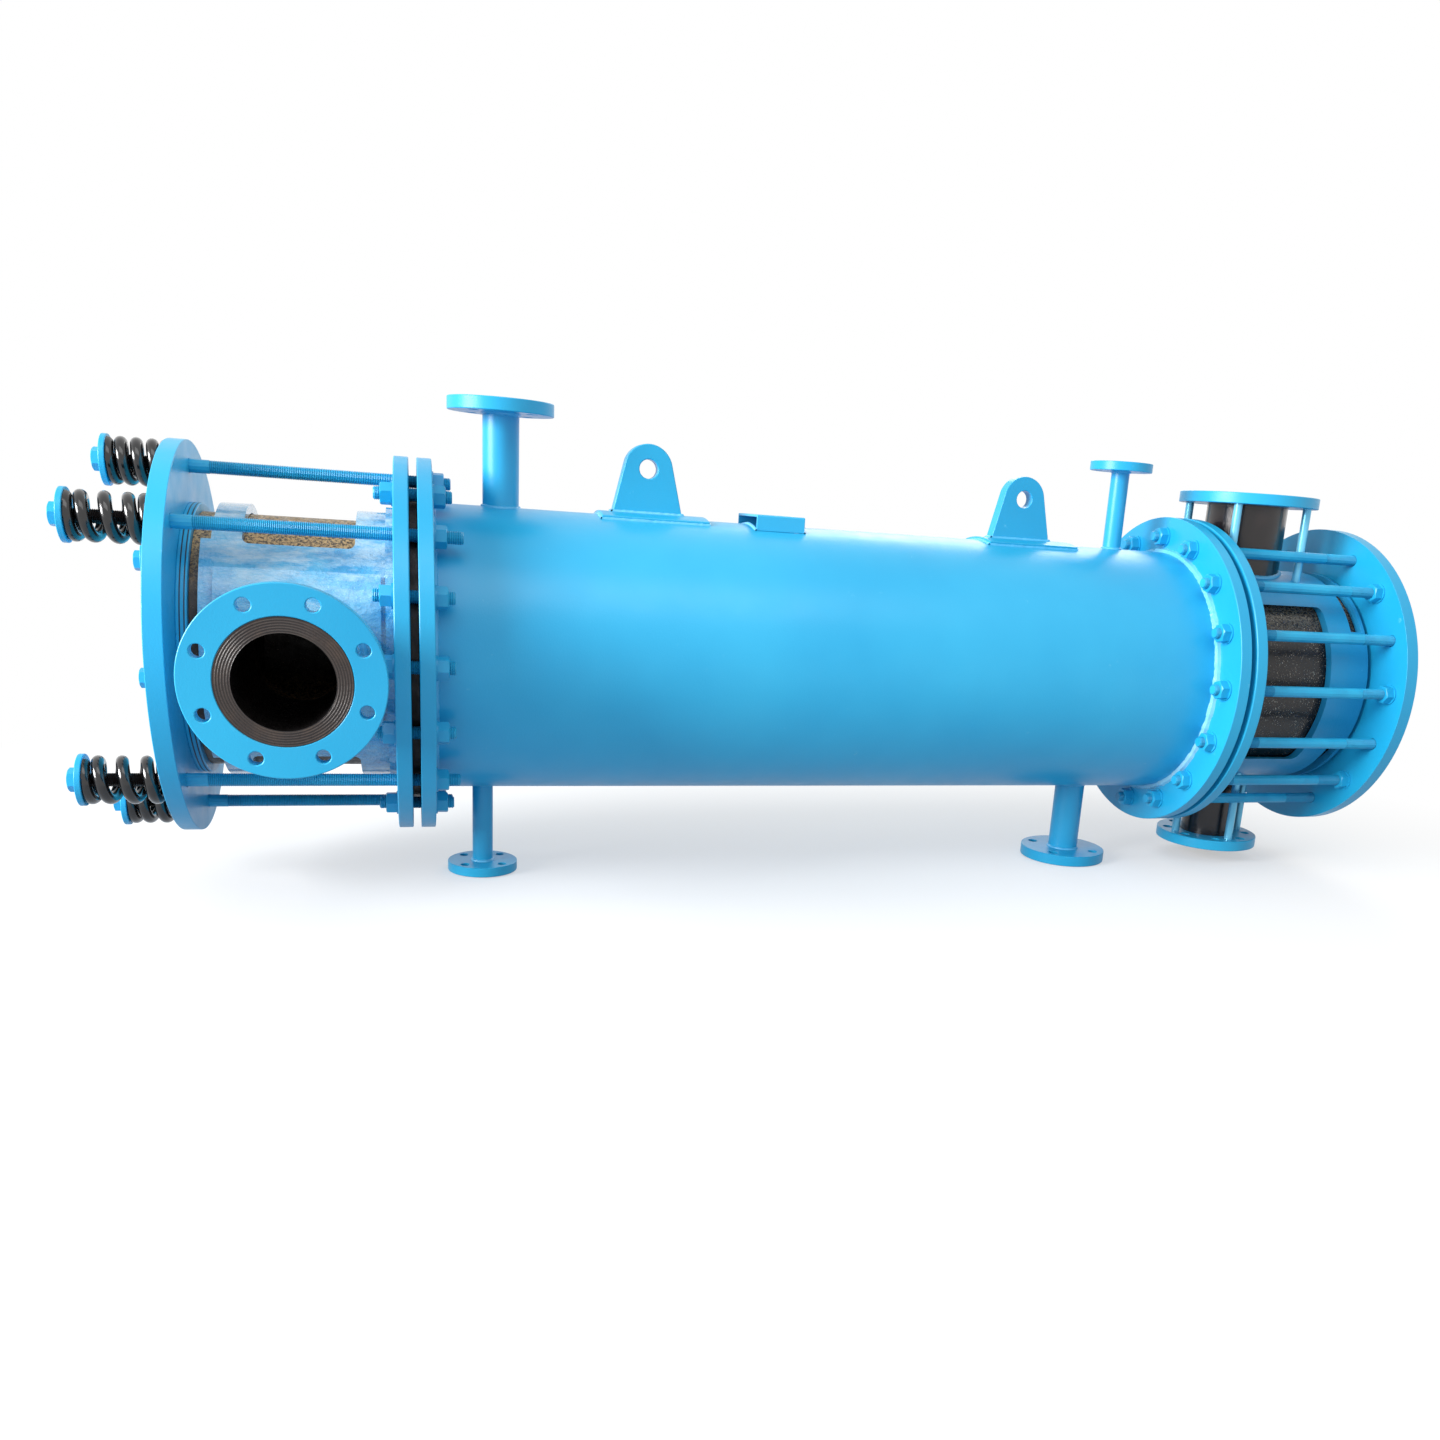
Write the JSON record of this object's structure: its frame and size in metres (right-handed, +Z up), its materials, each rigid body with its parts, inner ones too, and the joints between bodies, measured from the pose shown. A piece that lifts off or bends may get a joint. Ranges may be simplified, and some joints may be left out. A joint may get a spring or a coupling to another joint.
{
  "type": "graphite block heat exchanger",
  "caption": "Horizontal graphite heat exchanger: a blue steel shell between two jacketed graphite headers, one sprung by tie rods, with flanged nozzles and lifting lugs.",
  "frame": {"origin": "centre of the lower left shell nozzle's flange face, on which the unit stands with the lower right one", "axes": "+X along the shell from the sprung header to the end cover, +Y away from the side nozzle, +Z up"},
  "size_m": [2.2635, 0.7249, 0.772],
  "materials": {
    "blue_paint": "gloss",
    "cast_paint": "satin",
    "spring_black": "gloss",
    "graphite": "satin",
    "graphite_black": "satin"
  },
  "bodies": {
    "root": {"bottom_nozzle_flange": "blue_paint", "bottom_nozzle_rods": "blue_paint", "bottom_nozzle_stub": "graphite", "end_cover": "blue_paint", "header_flange_left": "blue_paint", "header_flange_right": "blue_paint", "left_flange_bolts": "blue_paint", "left_header_graphite": "graphite", "left_header_jacket": "cast_paint", "left_header_ring": "cast_paint", "left_jacket_saddle": "cast_paint", "lower_left_flange": "blue_paint", "lower_left_stem": "blue_paint", "lower_right_flange": "blue_paint", "lower_right_stem": "blue_paint", "lug_left": "blue_paint", "lug_right": "blue_paint", "plate_bracket": "blue_paint", "pressure_plate": "blue_paint", "right_end_ring": "cast_paint", "right_flange_bolts": "blue_paint", "right_header_graphite": "graphite", "right_header_jacket": "cast_paint", "right_studs": "blue_paint", "shell": "blue_paint", "shell_flange_left": "blue_paint", "shell_flange_right": "blue_paint", "side_nozzle_flange": "blue_paint", "side_nozzle_liner": "graphite", "side_nozzle_neck": "cast_paint", "spring_caps": "blue_paint", "tie_rod_springs": "spring_black", "tie_rods": "blue_paint", "top_nozzle_flange": "blue_paint", "top_nozzle_rods": "blue_paint", "top_nozzle_stub": "graphite", "tube_sheet_left": "graphite_black", "tube_sheet_right": "graphite_black", "upper_left_flange": "blue_paint", "upper_left_stem": "blue_paint", "upper_right_flange": "blue_paint", "upper_right_stem": "blue_paint"}
  },
  "joints": []
}
